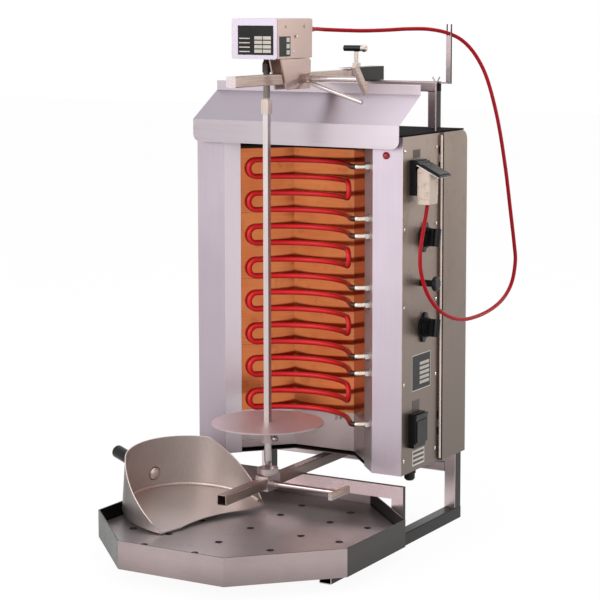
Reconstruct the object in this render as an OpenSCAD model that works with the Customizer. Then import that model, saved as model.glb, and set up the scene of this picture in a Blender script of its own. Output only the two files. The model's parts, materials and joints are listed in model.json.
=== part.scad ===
// Electric skewer grill: a heated chamber with four tubular elements,
// a motor driven skewer in front of it, and an octagonal drip tray below.
// Millimetres. X is to the right, Y to the back, Z up.

/* [Base frame] */
// Outside width over the two base rails
frame_w = 455; // [435:5:500]
// Length of the base rails
rail_len = 532; // [500:4:600]
// Side of the square tube of the base rails and rear posts
base_tube = 25; // [22:1:28]
// Side of the square tube of the arms and the upper frame
arm_tube = 20; // [18:1:22]
// Wall of the square tubes
tube_wall = 1.5; // [1:0.5:2.5]
// Outer corner radius of the square tubes
tube_round = 2; // [1:0.5:3]
// Height of the front portal above the rails
portal_h = 92; // [90:1:110]
// Distance of the portal's front face from the back
portal_set = 254; // [252:1:258]
// Thickness of the portal's flat bar
portal_t = 10; // [6:1:12]
// Length of the lower arm
lower_arm_len = 538; // [520:2:580]

/* [Housing] */
// Depth of the housing
housing_d = 263; // [260:1:266]
// Gap between the lower arm and the housing
housing_gap = 3; // [2:0.5:8]
// Thickness of the housing's sheet metal
sheet = 1.2; // [0.8:0.1:2]
// Width of the chamber at its mouth
mouth_w = 330; // [322:2:336]
// Width of the chamber at its back wall
back_w = 136; // [128:2:144]
// Depth of the chamber
chamber_d = 105; // [103:1:112]
// Width of the bright cheek left of the reflectors
cheek_w = 33; // [26:1:38]
// Width of the terminal strip right of the reflectors
strip_w = 59; // [52:1:64]
// Height of the skirt below the reflectors
skirt_h = 76; // [60:2:90]
// Height of the skirt's lower edge above the housing's lower edge
skirt_lift = 10; // [6:1:14]
// Height of one reflector panel
reflector_h = 132; // [126:2:140]
// Height of the strip above the reflectors
head_h = 30; // [24:1:40]
// Thickness of the housing's black top plate
top_t = 3; // [2:0.5:5]
// Depth of the control panel, front to back
panel_d = 153; // [148:1:155]
// Room for the side shield's hinges behind the control panel
hinge_room = 7; // [7:0.5:14]
// Thickness of the side shield over its folded edges
shield_t = 8; // [6:0.5:12]

/* [Hood] */
// Distance of the hood's lip in front of the housing
hood_reach = 15; // [10:1:20]
// Height of the hood's upright lip
lip_h = 44; // [36:1:52]
// Distance of the lip's lower edge below the housing's top
lip_drop = 25; // [18:1:30]
// Depth of the hood's slope
slope_d = 88; // [76:2:100]
// Height of the hood's slope
slope_h = 54; // [44:2:64]
// Height of the upright flange behind the slope
flange_h = 19; // [12:1:26]

/* [Heating elements] */
// Diameter of the heating tube
element_d = 9; // [7:0.5:10]
// Distance of the elements' curve inside the edges of the chamber's mouth
element_inset = 35; // [33:1:38]
// Angle of the curve left of the middle
element_left = 52; // [48:1:53]
// Angle of the curve right of the middle
element_right = 48; // [44:1:49]
// Radius of the bend into the terminal strip
terminal_r = 12; // [10:1:14]
// Width across the flats of the terminal nuts
nut_af = 15; // [13:1:17]

/* [Upper frame] */
// Distance between the outer faces of the upper posts
upper_w = 355.4; // [340:2:370]
// Height of the upper frame above the housing
upper_h = 91; // [86:1:100]
// Sideways place of the upper arm, right of the middle
upper_arm_x = 27; // [25:1:30]
// Length of the upper arm
upper_arm_len = 553; // [540:2:580]
// Length of the sleeve that holds the upper arm
sleeve_len = 125; // [110:1:135]
// Wall of the sleeve
sleeve_wall = 3.8; // [3:0.2:5]

/* [Spit] */
// Distance of the skewer from the housing's front
spit_reach = 111; // [110:1:130]
// Side of the square skewer
skewer_s = 10.5; // [9:0.5:11]
// Diameter of the meat disc
disc_d = 212; // [180:2:214]
// Thickness of the meat disc
disc_t = 3; // [2:0.5:4]
// Height of the disc's underside
disc_z = 240; // [236:1:250]
// Length of the disc's hub
hub_len = 37; // [30:1:40]
// Diameter of the round foot of the skewer
foot_d = 14; // [12:1:15]
// Diameter of the bearing cup
cup_d = 40; // [34:1:46]
// Diameter of the clamp rods
rod_d = 10; // [8:1:11]
// Length of the clamp rods' crosspieces
cross_len = 69; // [60:1:76]
// Distance by which the spit can be drawn forward
spit_travel = 100; // [60:5:110]

/* [Motor] */
// Width of the motor housing
motor_w = 98.5; // [90:0.5:104]
// Depth of the motor housing
motor_d = 126; // [110:2:136]
// Height of the motor housing
motor_h = 75; // [66:1:84]
// Height of the motor's underside above the upper arm
motor_lift = 27; // [24:1:32]

/* [Drip tray] */
// Width of the octagonal tray across its flats
tray_w = 540; // [500:5:542]
// Height of the tray
tray_h = 52; // [44:1:60]
// Height of the perforated plate above the rails
plate_lift = 26; // [20:1:30]
// Diameter of the drain holes
hole_d = 9; // [6:0.5:14]
// Spacing of the inner rows of drain holes
hole_pitch = 110; // [100:2:112]
// Distance of the outer rows of drain holes from the middle
hole_outer = 191; // [180:1:200]

/* [Scoop] */
// Radius of the scoop's round wall
scoop_r = 141; // [134:1:141]
// Lean of the scoop, whose back rests on the tray's rim
scoop_tilt = 7.75; // [7.75:0.05:9]
// Height of the scoop's wall
scoop_h = 102; // [80:2:110]
// Thickness of the scoop's sheet
scoop_t = 1.5; // [1:0.5:2.5]
// Radius of the scoop's hollow front edge
scoop_front_r = 265; // [250:5:290]
// Diameter of the scoop's handle
handle_d = 26; // [22:1:30]
// Length of the scoop's handle
handle_len = 112; // [90:2:130]

/* [Controls] */
// Width of the socket boxes, front to back
socket_w = 48; // [42:1:54]
// Height of the socket boxes
socket_h = 67; // [60:1:72]
// Thickness of the socket boxes
socket_t = 12; // [10:1:16]
// Length of the socket lids
lid_len = 53; // [48:1:56]
// Diameter of the switch rosettes
rosette_d = 44; // [38:1:48]
// Diameter of the pull knob
pull_d = 29; // [24:1:34]
// Diameter of the signal lamp
lamp_d = 14; // [10:1:18]
// Diameter of the red motor cord
cord_d = 7.5; // [6:0.5:8]

/* [Hidden] */
$fn = 48;

// Running gaps
slide_gap = 0.2;
turn_gap = 0.1;
rest_gap = 0.3;
seam = 0.4;

// Heights of the housing
half_w = frame_w / 2;
rail_x = half_w - base_tube / 2;
arm_z = base_tube + portal_h;
housing_z = arm_z + arm_tube + housing_gap;
skirt_z = housing_z + skirt_lift;
reflector_z = skirt_z + skirt_h;
head_z = reflector_z + 4 * reflector_h;
roof_z = head_z + head_h;
housing_top = roof_z + top_t;

// Vectors in plan
function unit(v) = v / norm(v);
function cross2(a, b) = a[0] * b[1] - a[1] * b[0];
function turned(v) = [-v[1], v[0]];
function left_of(a, b) = turned(unit(b - a));
function corner(path, i) =
    let (last = len(path) - 1)
    i == 0 ? left_of(path[0], path[1])
    : i == last ? left_of(path[last - 1], path[last])
    : let (a = left_of(path[i - 1], path[i]), b = left_of(path[i], path[i + 1]))
        (a + b) / (1 + a * b);
function shifted(path, d) = [for (i = [0:len(path) - 1]) path[i] + d * corner(path, i)];
function reversed(path) = [for (i = [len(path) - 1:-1:0]) path[i]];

// Plan of the chamber, from its left mouth round the back to its right mouth
front_y = -housing_d;
wall_y = front_y + chamber_d;
mouth_l = [-mouth_w / 2, front_y];
mouth_r = [mouth_w / 2, front_y];
back_l = [-back_w / 2, wall_y];
back_r = [back_w / 2, wall_y];
splay_l = unit(back_l - mouth_l);
splay_r = unit(back_r - mouth_r);
column_return = 8;
cheek_end = mouth_l + cheek_w * splay_l;
strip_start = mouth_r + (column_return + seam) * splay_r;
strip_end = mouth_r + strip_w * splay_r;
lining = [cheek_end + seam * splay_l, back_l, back_r, strip_end + seam * splay_r];

// Heating elements: four runs each, bent to and fro along one curve
run_pitch = reflector_h / 4;
element_drop = 28.5;
element_gap = 12;
element_x = -14.5;
element_r = mouth_w / 2 - element_inset;
element_y = wall_y - element_gap - element_r;
terminal_angle = 54.6;
terminal_set = 23;
terminal_through = 12;
strip_t = 1.5;
nut_t = 8;
washer_t = 1.5;
strip_in = [-splay_r[1], splay_r[0]] * -1;
nut_at = mouth_r + terminal_set * splay_r;

// Spit
spit_y = front_y - spit_reach;
upper_arm_z = housing_top + upper_h + sleeve_wall + slide_gap;
motor_z = upper_arm_z + arm_tube + motor_lift;
motor_front = 26;
motor_left = -60;

// Tray: its cut corner clears the portal's leg
tray_gap = 3.2;
tray_t = 1.2;
hem_t = 2.4;
hem_h = 9;
tray_y = half_w - base_tube - portal_set - tray_gap * sqrt(2) - tray_w / sqrt(2);
plate_top = base_tube + plate_lift;

// Control side
panel_x = half_w + sheet;
upper_socket_z = 673;
lower_socket_z = 189;
socket_y = front_y + 28;
lid_axis_x = panel_x + socket_t + 3.2;
lid_axis_drop = 5;
lid_droop = 63.3;
switch_y = front_y + 87;
upper_switch_z = 589;
lower_switch_z = 415;
pull_y = front_y + 77;
pull_z = 502;
shield_d = housing_d - panel_d - hinge_room;
hinge_y = -shield_d - hinge_room / 2;

// Scoop: where it lies in the tray, and where its handle sits
scoop_dir = 155;
scoop_x = -134;
scoop_y = tray_y + 17;
boss_angle = 160;
boss_z = 30;
handle_set = 18;
handle_rise = 2;

// Rear end of the sleeve, behind the back
sleeve_rear = 15;

// The part's origin is under the middle of its outline
lid_tip_x = lid_axis_x + lid_len * sin(lid_droop);
handle_tip_x = scoop_x + (scoop_r + handle_set + handle_len)
    * cos(boss_angle) * cos(scoop_tilt + handle_rise);
mid_x = (lid_tip_x + handle_tip_x) / 2;
mid_y = (sleeve_rear + tray_y - tray_w / 2) / 2;
module at_machine() translate([-mid_x, -mid_y, 0]) children();

// ---- shapes that repeat ----

module round_square(side, r) {
    square([side - 2 * r, side], center = true);
    square([side, side - 2 * r], center = true);
    for (x = [-1, 1], y = [-1, 1])
        translate([x, y] * (side / 2 - r)) circle(r, $fn = 24);
}

module round_rect(w, h, r) {
    square([w - 2 * r, h], center = true);
    square([w, h - 2 * r], center = true);
    for (x = [-1, 1], y = [-1, 1])
        translate([x * (w / 2 - r), y * (h / 2 - r)]) circle(r, $fn = 24);
}

// A square tube that stands up from its centre
module square_tube(length, side, wall = tube_wall)
    linear_extrude(length) difference() {
        round_square(side, tube_round);
        square(side - 2 * wall, center = true);
    }

module to_front() rotate([90, 0, 0]) children();
module to_right() rotate([0, 90, 0]) children();

// A bent strip of sheet, on the left of its path
module bent_strip(path, t) polygon(concat(path, reversed(shifted(path, t))));

module octagon(across) rotate(22.5) circle(d = across / cos(22.5), $fn = 8);

// A round tube swept along a path of points
function tangent(path, i) =
    unit(path[min(i + 1, len(path) - 1)] - path[max(i - 1, 0)]);
function squared(v, t) = unit(v - t * (v * t));
function frames(path) = [
    for (i = 0, n = squared([0, 0, 1], tangent(path, 0)); i < len(path);
        i = i + 1, n = squared(n, tangent(path, min(i, len(path) - 1)))) n
];

module tube_along(path, d, sides) {
    normals = frames(path);
    rings = [for (i = [0:len(path) - 1], s = [0:sides - 1])
        let (n = normals[i], b = cross(tangent(path, i), n), a = 360 * s / sides)
            path[i] + d / 2 * (cos(a) * n + sin(a) * b)];
    last = (len(path) - 1) * sides;
    faces = concat(
        [[for (s = [0:sides - 1]) s]],
        [for (i = [0:len(path) - 2], s = [0:sides - 1], half = [0, 1])
            let (a = i * sides + s, b = i * sides + (s + 1) % sides)
                half == 0 ? [a, a + sides, b] : [b, a + sides, b + sides]],
        [[for (s = [sides - 1:-1:0]) last + s]]
    );
    polyhedron(rings, faces);
}

// ---- base frame ----

module base_rails() color("dimgray") at_machine()
    for (x = [-rail_x, rail_x])
        translate([x, 0, base_tube / 2]) to_front() square_tube(rail_len, base_tube);

module portal_leg() polygon([
    [half_w - base_tube, base_tube], [half_w, base_tube],
    [half_w, arm_z], [half_w - base_tube, arm_z - base_tube]
]);

module frame_uprights() color("dimgray") at_machine() {
    for (x = [-rail_x, rail_x])
        translate([x, -base_tube / 2, base_tube])
            square_tube(housing_z - base_tube, base_tube);
    for (side = [0, 1])
        mirror([side, 0, 0]) translate([0, portal_t - portal_set, 0])
            to_front() linear_extrude(portal_t) portal_leg();
}

module frame_crossbars() color("dimgray") at_machine() {
    inner = half_w - base_tube;
    translate([-inner, arm_tube / 2 - base_tube, arm_z - arm_tube / 2])
        to_right() square_tube(2 * inner, arm_tube);
    translate([0, portal_t - portal_set, 0]) to_front()
        linear_extrude(portal_t) polygon([
            [-half_w, arm_z], [half_w, arm_z],
            [inner, arm_z - base_tube], [-inner, arm_z - base_tube]
        ]);
}

module lower_arm() color("rosybrown") at_machine()
    translate([0, 0, arm_z + arm_tube / 2]) to_front()
        square_tube(lower_arm_len, arm_tube);

// ---- housing ----

module left_column() color("thistle") at_machine()
    translate([0, 0, housing_z]) linear_extrude(roof_z - housing_z)
        bent_strip([[-half_w, front_y], mouth_l, cheek_end], sheet);

module right_column() color("thistle") at_machine()
    translate([0, 0, housing_z]) linear_extrude(roof_z - housing_z)
        bent_strip([mouth_r + column_return * splay_r, mouth_r, [half_w, front_y]], sheet);

module left_side_panel() color("tan") at_machine()
    translate([-half_w, front_y + sheet, housing_z])
        cube([sheet, housing_d - sheet, roof_z - housing_z]);

module hinge_block(z) {
    translate([0, 0, z]) cylinder(h = hinge_len, d = hinge_pin_d);
    translate([0, 0, z + hinge_len / 3 + rest_gap]) {
        cylinder(h = hinge_len / 3 - 2 * rest_gap, d = hinge_d);
        translate([-hinge_out, -hinge_d / 2, 0])
            cube([hinge_out, hinge_d / 2, hinge_len / 3 - 2 * rest_gap]);
    }
}

hinge_d = 6;
hinge_pin_d = 3;
hinge_len = 46;
hinge_out = 3.5;
hinge_zs = [housing_z + 52, roof_z - 72];

module right_side_panel() color("tan") at_machine() {
    edge = 16;
    difference() {
        translate([half_w - sheet, front_y + sheet, housing_z])
            cube([sheet, housing_d - sheet, roof_z - housing_z]);
        translate([half_w - 2 * sheet, front_y + edge, housing_z + edge])
            cube([3 * sheet, panel_d - 2 * edge, roof_z - housing_z - 2 * edge]);
    }
    for (z = hinge_zs)
        translate([half_w + hinge_out, hinge_y, 0]) hinge_block(z);
}

module rear_panel() color("tan") at_machine()
    translate([sheet - half_w, -sheet, housing_z])
        cube([frame_w - 2 * sheet, sheet, roof_z - housing_z]);

module housing_floor() color("tan") at_machine() {
    hw = half_w - sheet;
    fy = front_y + sheet;
    edge = shifted([mouth_l, back_l, back_r, mouth_r], 2 * sheet);
    translate([0, 0, housing_z]) linear_extrude(sheet) difference() {
        polygon([
            [-hw, -sheet], [-hw, fy], [edge[0][0], fy], edge[1],
            edge[2], [edge[3][0], fy], [hw, fy], [hw, -sheet]
        ]);
        translate([gland_x, gland_y]) circle(d = gland_bore);
    }
}

module top_plate() color("#262626") at_machine() {
    translate([-half_w, front_y, roof_z]) cube([frame_w, housing_d, top_t]);
    translate([0, 0, head_z]) linear_extrude(head_h) bent_strip(lining, sheet);
}

screw_rows = 5;
screw_zs = [for (i = [0:screw_rows - 1])
    housing_z + 28 + i * (roof_z - housing_z - 54) / (screw_rows - 1)];
screw_front_y = front_y + 6;
screw_rear_y = front_y + panel_d - 13;

module control_panel() color("tan") at_machine()
    difference() {
        translate([half_w, front_y, housing_z + 1])
            cube([sheet, panel_d, roof_z - housing_z - 1]);
        translate([half_w - 1, pull_y, pull_z])
            to_right() cylinder(h = sheet + 2, d = pull_shaft_d + 2 * turn_gap);
        for (z = [upper_switch_z, lower_switch_z])
            translate([half_w - 1, switch_y, z])
                to_right() cylinder(h = sheet + 2, d = spindle_d + 2 * turn_gap);
    }

module chamber_skirt() color("silver") at_machine() {
    slot_z = reflector_z - 14;
    bolt_z = reflector_z - 11;
    difference() {
        translate([0, 0, skirt_z]) linear_extrude(skirt_h)
            bent_strip(lining, sheet);
        translate([37, wall_y - 1, slot_z]) cube([3, sheet + 2, 15]);
    }
    translate([24, wall_y, bolt_z]) to_front() cylinder(h = 4, d = 11.5, $fn = 6);
    translate([24, wall_y, bolt_z]) to_front() cylinder(h = 1, d = 15);
}

// A reflector panel with folded lips behind its upper and lower edges
module reflector(n) color("peru") at_machine() {
    lip = 7;
    bottom = head_z - n * reflector_h;
    height = reflector_h - seam;
    translate([0, 0, bottom]) {
        linear_extrude(height) bent_strip(lining, sheet);
        linear_extrude(sheet) bent_strip(lining, lip);
        translate([0, 0, height - sheet])
            linear_extrude(sheet) bent_strip(lining, lip);
    }
}
module reflector_1() reflector(1);
module reflector_2() reflector(2);
module reflector_3() reflector(3);
module reflector_4() reflector(4);

// ---- heating elements ----

function on_curve(angle) =
    [element_x, element_y] + element_r * [sin(angle), cos(angle)];

// Steps of the sweep: along the runs, round the bends, round the terminals
run_step = 6.5;
bend_steps = 8;
terminal_steps = 5;
element_sides = 10;

function run_points(from, to, z) =
    let (steps = ceil(abs(to - from) / run_step))
    [for (i = [0:steps])
        let (p = on_curve(from + (to - from) * i / steps)) [p[0], p[1], z]];

// The half ring that joins two runs at one end of the curve
function bend_points(angle, side, z) =
    let (end = on_curve(angle), ahead = side * [cos(angle), -sin(angle)], r = run_pitch / 2)
    [for (i = [1:bend_steps - 1])
        let (a = 180 * i / bend_steps, p = end + r * sin(a) * ahead)
            [p[0], p[1], z - r + r * cos(a)]];

// From the curve's end through a bend and square into the terminal strip
terminal_from = on_curve(terminal_angle);
terminal_dir = [cos(terminal_angle), -sin(terminal_angle)];
terminal_turn = acos(terminal_dir * strip_in);
terminal_cut = terminal_r * tan(terminal_turn / 2);
terminal_span = nut_at - terminal_from;
terminal_a = cross2(terminal_span, strip_in) / cross2(terminal_dir, strip_in);
bend_start = terminal_from + (terminal_a - terminal_cut) * terminal_dir;
bend_mid = bend_start + terminal_r * turned(terminal_dir);

function terminal_points(z) =
    [for (i = [0:terminal_steps])
        let (a = terminal_turn * i / terminal_steps,
            p = bend_mid + terminal_r * (sin(a) * terminal_dir - cos(a) * turned(terminal_dir)))
            [p[0], p[1], z],
    let (p = nut_at + terminal_through * strip_in) [p[0], p[1], z]];

function element_points(n) = concat(
    reversed(terminal_points(run_z(n, 0))),
    run_points(terminal_angle, -element_left, run_z(n, 0)),
    bend_points(-element_left, -1, run_z(n, 0)),
    run_points(-element_left, element_right, run_z(n, 1)),
    bend_points(element_right, 1, run_z(n, 1)),
    run_points(element_right, -element_left, run_z(n, 2)),
    bend_points(-element_left, -1, run_z(n, 2)),
    run_points(-element_left, terminal_angle, run_z(n, 3)),
    terminal_points(run_z(n, 3))
);

function run_z(n, k) =
    head_z - (n - 1) * reflector_h - element_drop - k * run_pitch;

module heating_element(n) color("crimson") at_machine()
    tube_along(element_points(n), element_d, element_sides);
module heating_element_1() heating_element(1);
module heating_element_2() heating_element(2);
module heating_element_3() heating_element(3);
module heating_element_4() heating_element(4);

terminal_zs = [for (n = [1:4], k = [0, 3]) run_z(n, k)];

module at_terminal(z, back)
    translate([nut_at[0], nut_at[1], z])
        rotate([0, 90, atan2(strip_in[1], strip_in[0])])
            translate([0, 0, -back]) children();

module terminal_strip() color("silver") at_machine()
    difference() {
        translate([0, 0, housing_z]) linear_extrude(roof_z - housing_z)
            bent_strip([strip_end, strip_start], strip_t);
        for (z = terminal_zs)
            at_terminal(z, 5) cylinder(h = 10, d = element_d + 2 * turn_gap);
    }

module terminal_nuts() color("gainsboro") at_machine()
    for (z = terminal_zs)
        at_terminal(z, nut_t + washer_t) difference() {
            union() {
                cylinder(h = nut_t, d = nut_af / cos(30), $fn = 6);
                translate([0, 0, nut_t]) cylinder(h = washer_t, d = nut_af + 4);
            }
            translate([0, 0, -1])
                cylinder(h = nut_t + washer_t + 2, d = element_d + 2 * turn_gap);
        }

// ---- hood ----

lip_y = front_y - hood_reach;
lip_z = housing_top - lip_drop;
hood_path = [
    [lip_y, lip_z], [lip_y, lip_z + lip_h],
    [lip_y + slope_d, lip_z + lip_h + slope_h],
    [lip_y + slope_d, lip_z + lip_h + slope_h + flange_h]
];
lip_round = 16;
gusset_t = 3;

// The hood's outline from the side, drawn along X
module along_width(w) rotate([90, 0, 90]) linear_extrude(w) children();

module lip_corner() difference() {
    translate([-1, -1]) square(lip_round + 1);
    translate([lip_round, lip_round]) circle(lip_round);
}

module gusset() {
    from_y = lip_y + 32;
    to_y = lip_y + slope_d - 8;
    rise = slope_h / slope_d;
    polygon([
        [from_y, housing_top], [to_y, housing_top],
        [to_y, lip_z + lip_h + (to_y - lip_y) * rise - sheet / 2],
        [from_y, lip_z + lip_h + (from_y - lip_y) * rise - sheet / 2]
    ]);
}

module hood() color("thistle") at_machine() {
    difference() {
        translate([-half_w, 0, 0]) along_width(frame_w) bent_strip(hood_path, -sheet);
        for (side = [0, 1])
            mirror([side, 0, 0]) translate([-half_w, lip_y + 2 * sheet, lip_z])
                to_front() linear_extrude(4 * sheet) lip_corner();
    }
    for (x = [-half_w + 60, half_w - 60])
        translate([x - gusset_t / 2, 0, 0]) along_width(gusset_t) gusset();
}

module signal_lamp() color("red") at_machine()
    translate([(mouth_w / 2 + half_w) / 2 - 2.5, front_y, housing_top - 38]) to_front()
        rotate_extrude() {
            square([lamp_d / 2, 2]);
            intersection() {
                translate([0, 2 - lamp_d / 4]) circle(d = lamp_d * 1.06);
                translate([0, 2]) square([lamp_d / 2 - 1, lamp_d]);
            }
        }

// ---- upper frame ----

module upper_posts() color("#303030") at_machine()
    for (x = [-1, 1])
        translate([x * (upper_w - arm_tube) / 2, -arm_tube / 2, housing_top])
            square_tube(upper_h - arm_tube, arm_tube);

module upper_crossbar() color("#303030") at_machine()
    translate([-upper_w / 2, -arm_tube / 2, housing_top + upper_h - arm_tube / 2])
        to_right() square_tube(upper_w, arm_tube);

sleeve_in = arm_tube + 2 * slide_gap;
sleeve_out = sleeve_in + 2 * sleeve_wall;
clamp_y = -75;
upper_arm_mid = upper_arm_z + arm_tube / 2;

module arm_sleeve() color("#303030") at_machine() {
    difference() {
        union() {
            translate([upper_arm_x, sleeve_rear, upper_arm_mid]) to_front()
                linear_extrude(sleeve_len) difference() {
                    square(sleeve_out, center = true);
                    square(sleeve_in, center = true);
                }
            translate([upper_arm_x - sleeve_out / 2, sleeve_rear - sleeve_len - 14,
                upper_arm_mid + sleeve_out / 2 - 2])
                cube([sleeve_out, 14, 2]);
        }
        translate([upper_arm_x, clamp_y, upper_arm_mid])
            cylinder(h = sleeve_out, d = rod_d + 2 * turn_gap);
    }
}

module upper_arm() color("rosybrown") at_machine() {
    front_end = 12 - upper_arm_len;
    translate([upper_arm_x, 12, upper_arm_mid]) to_front()
        square_tube(upper_arm_len, arm_tube);
    translate([upper_arm_x, front_end + tube_wall, upper_arm_mid]) to_front()
        linear_extrude(tube_wall) square(arm_tube - 2 * tube_wall + 0.2, center = true);
}

grip_d = 12;
grip_len = 38;

module clamp_handle() color("silver") at_machine()
    translate([upper_arm_x, clamp_y, upper_arm_z + arm_tube + slide_gap]) {
        collar_z = sleeve_wall + rest_gap;
        cylinder(h = 36, d = rod_d);
        translate([0, 0, collar_z]) cylinder(h = 8, d = 19, $fn = 6);
        translate([-27, 0, 41]) to_right() cylinder(h = grip_len, d = grip_d);
        translate([grip_len - 27, 0, 41]) to_right() rotate_extrude() {
            square([grip_d / 2, 4]);
            intersection() {
                translate([0, 6]) circle(d = grip_d + 3);
                square([grip_d, 14]);
            }
        }
    }

// ---- cord guides ----

fork_out = 21.3;
fork_at = [upper_w / 2 + fork_out, -10, 968];
fork_half = 5.2;
prong = 1.6;

module cord_forks() color("#404040") at_machine() {
    bar_w = 2 * (fork_half + prong);
    foot_z = housing_top + upper_h - 4;
    translate([upper_w / 2, -13, foot_z]) cube([fork_out + 0.7, 6, 3]);
    translate([fork_at[0], fork_at[1], 0]) rotate(-20) {
        translate([-bar_w / 2, -1.5, foot_z]) cube([bar_w, 3, fork_at[2] - foot_z]);
        for (x = [-bar_w / 2, fork_half])
            translate([x, -1.5, fork_at[2] - 1]) cube([prong, 3, 24]);
    }
    translate([half_w - 6, hinge_y - 5.5, housing_top]) {
        cylinder(h = 92, d = 4);
        for (a = [-28, 28])
            translate([0, 0, 90]) rotate([0, a, 0]) cylinder(h = 16, d = 3);
    }
}

// ---- control side ----

socket_zs = [upper_socket_z, lower_socket_z];

module socket_boxes() color("#222222") at_machine()
    for (z = socket_zs)
        translate([panel_x, socket_y + socket_w / 2, z + socket_h / 2])
            to_right() linear_extrude(socket_t) round_rect(socket_h, socket_w, 3);

// A lid that hangs from its hinge, closed, with the axis at the origin
module lid() {
    barrel = 6;
    translate([0, socket_w / 2, 0]) to_front() cylinder(h = socket_w, d = barrel);
    translate([-2.8, -socket_w / 2, -lid_len]) cube([4, socket_w, lid_len]);
    translate([1, -socket_w / 2 + 3, -lid_len + 3]) cube([1.6, socket_w - 6, lid_len - 12]);
}

module at_lid(z)
    translate([lid_axis_x, socket_y + socket_w / 2, z + socket_h - lid_axis_drop])
        children();

module upper_lid() color("#222222") at_machine()
    at_lid(upper_socket_z) rotate([0, -lid_droop, 0]) lid();

module lower_lid() color("#222222") at_machine() at_lid(lower_socket_z) lid();

rosette_t = 6;
rosette_turn = 10;
spindle_d = 6;
switch_zs = [upper_switch_z, lower_switch_z];

module at_switch(z) translate([panel_x, switch_y, z]) rotate([-rosette_turn, 0, 0]) children();

module switch_rosettes() color("#222222") at_machine()
    for (z = switch_zs)
        at_switch(z) to_right() difference() {
            union() {
                cylinder(h = rosette_t, d = rosette_d);
                for (x = [-1, 1])
                    translate([x * rosette_d / 2, 0, 0]) cylinder(h = rosette_t - 1, d = 14);
            }
            translate([0, 0, -1]) cylinder(h = rosette_t + 2, d = spindle_d + 2 * turn_gap);
        }

module switch_knob(z) color("#222222") at_machine()
    at_switch(z) {
        translate([-8, 0, 0]) to_right() cylinder(h = 20, d = spindle_d);
        translate([rosette_t + rest_gap, 0, 0]) {
            to_right() cylinder(h = 9, d = 34);
            to_right() cylinder(h = 5, d = 38);
            translate([0, -6, -17]) cube([26, 12, 34]);
            translate([22, 0, -17]) cylinder(h = 34, d = 15);
        }
    }
module upper_switch_knob() switch_knob(upper_switch_z);
module lower_switch_knob() switch_knob(lower_switch_z);

pull_shaft_d = 13;

module pull_knob() color("#222222") at_machine()
    translate([half_w - 10, pull_y, pull_z]) to_right() rotate_extrude() {
        square([pull_shaft_d / 2, 40]);
        translate([0, 38]) square([pull_d / 2 - 5, 10]);
        translate([pull_d / 2 - 5, 43]) circle(5);
    }

gland_x = half_w - 14;
gland_y = front_y + 63;
gland_bore = 12;

module mains_gland() color("#222222") at_machine()
    translate([gland_x, gland_y, housing_z]) difference() {
        union() {
            translate([0, 0, -6]) cylinder(h = 6, d = 27, $fn = 6);
            translate([0, 0, -17]) cylinder(h = 11, d = 21);
            translate([0, 0, -21]) cylinder(h = 4, d1 = 15, d2 = 21);
            translate([0, 0, -1]) cylinder(h = 8, d = gland_bore - 2 * turn_gap);
        }
        translate([0, 0, -22]) cylinder(h = 4, d = 8);
    }

module panel_screws() color("silver") at_machine()
    for (y = [screw_front_y, screw_rear_y], z = screw_zs)
        translate([panel_x, y, z]) to_right() rotate_extrude() intersection() {
            translate([0, -3.6]) circle(6);
            square([3.6, 4]);
        }

// The hinged side shield: a shallow tray of sheet with its corner rounded
module shield_outline(inset) {
    r = 20;
    w = shield_d - 2 * inset;
    h = roof_z - housing_z - 2 * inset;
    translate([inset, inset]) {
        square([w, h - r]);
        square([w - r, h]);
        translate([w - r, h - r]) circle(r);
    }
}

module side_shield() color("tan") at_machine() {
    translate([half_w, -shield_d, housing_z]) rotate([90, 0, 90]) difference() {
        linear_extrude(shield_t) shield_outline(0);
        translate([0, 0, -1]) linear_extrude(shield_t - sheet + 1) shield_outline(sheet);
    }
    for (z = hinge_zs, part = [0, 2])
        translate([half_w + hinge_out, hinge_y, z + part * (hinge_len / 3 + rest_gap / 3)])
            difference() {
                union() {
                    cylinder(h = hinge_len / 3 - rest_gap, d = hinge_d);
                    translate([-1, 0, 0]) cube([hinge_d / 2 + 1, 4.5, hinge_len / 3 - rest_gap]);
                }
                translate([0, 0, -1]) cylinder(h = hinge_len, d = hinge_pin_d + 2 * turn_gap);
            }
}

// ---- motor ----

motor_back_y = spit_y - motor_front + motor_d;
cover_t = 1.5;
cord_exit = [30, motor_back_y + 22, motor_z + 54];

module motor_housing() color("thistle") at_machine()
    translate([motor_left + motor_w / 2, motor_back_y, motor_z + motor_h / 2]) to_front()
        linear_extrude(motor_d) round_rect(motor_w, motor_h, 5);

module motor_cover() color("rosybrown") at_machine() {
    x = motor_left + motor_w;
    fold_z = motor_h - 27;
    translate([x, motor_back_y - motor_d + 1, motor_z + 1])
        cube([cover_t, motor_d - 1, motor_h - 2]);
    translate([x, motor_back_y - motor_d + 1, motor_z + fold_z])
        cube([cover_t + 0.8, motor_d - 1, motor_h - fold_z - 1]);
    for (at = [[30, motor_h - 15], [97, motor_h - 15]])
        translate([x + cover_t + 0.8, motor_back_y - motor_d + at[0], motor_z + at[1]])
            to_right() cylinder(h = 1.2, d = 6);
    translate([x + cover_t, motor_back_y - motor_d + 64, motor_z + motor_h - 34])
        to_right() cylinder(h = 1.2, d = 6);
}

module motor_gland() color("firebrick") at_machine()
    translate([cord_exit[0], motor_back_y, cord_exit[2]]) rotate([-90, 0, 0]) {
        cylinder(h = 3, d = 16);
        translate([0, 0, 3]) cylinder(h = 19, d1 = 12, d2 = cord_d + 1.5);
    }

bracket_t = 3;
bracket_gap = 0.5;
bracket_front = 15;
bracket_back = 92;
bracket_h = 57;
bracket_boss = 9;
bracket_block = 60;
clamp_rod_y = spit_y + 70;
bracket_x = upper_arm_x + arm_tube / 2 + bracket_gap;

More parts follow.
